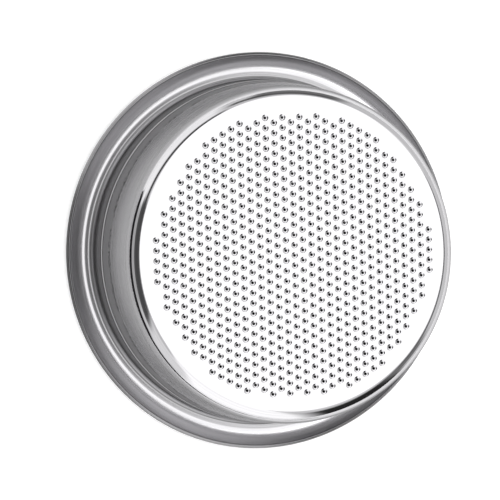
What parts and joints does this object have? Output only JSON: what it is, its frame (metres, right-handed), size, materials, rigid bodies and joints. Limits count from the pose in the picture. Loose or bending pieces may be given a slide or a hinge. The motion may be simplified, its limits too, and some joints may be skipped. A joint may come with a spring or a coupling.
{
  "type": "espresso filter basket",
  "caption": "Round thin-walled filter cup with a turned-over flat rim, a slightly tapered wall with a small shoulder, and a flat floor finely perforated with flared holes.",
  "frame": {"origin": "centre of the rim's mouth face, on the cup's axis, with the cup standing on its rim and the mouth down", "axes": "+Z along the cup's axis from the mouth towards the perforated floor; +Y along the rows of holes; +X across the rows"},
  "size_m": [0.07, 0.07, 0.023],
  "materials": {
    "stainless_steel": "bright stainless steel, smooth on the floor, with fine turning lines on the wall and the rim"
  },
  "bodies": {
    "root": {"basket": "stainless_steel"}
  },
  "joints": []
}
